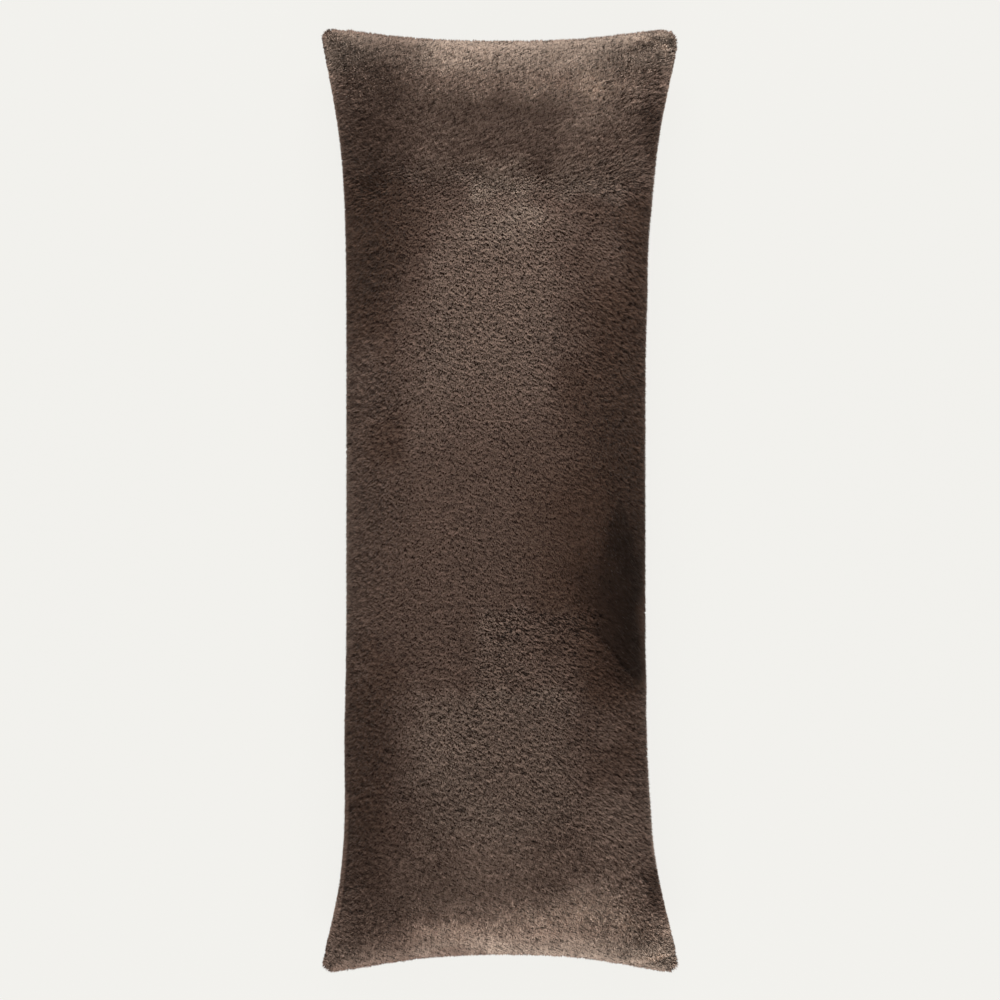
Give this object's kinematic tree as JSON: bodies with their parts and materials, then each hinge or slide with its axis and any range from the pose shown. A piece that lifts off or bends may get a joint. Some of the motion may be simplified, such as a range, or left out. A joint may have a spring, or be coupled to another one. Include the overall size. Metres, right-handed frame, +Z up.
{
  "type": "body pillow",
  "caption": "Long stuffed body pillow in short dark taupe plush, with drawn-in sides and ends, flat ears at its corners and a seam all round.",
  "frame": {"origin": "on the surface that the pillow rests on, under the middle of its outline", "axes": "+Y along the pillow towards its head end, +X across it to the right of the front as seen from above, +Z up out of the front"},
  "size_m": [0.5038, 1.3308, 0.1999],
  "materials": {
    "plush": "short dense plush pile, dark taupe brown, matt with a soft sheen and a nap that lies light and dark"
  },
  "bodies": {
    "root": {"pillow": "plush"}
  },
  "joints": []
}
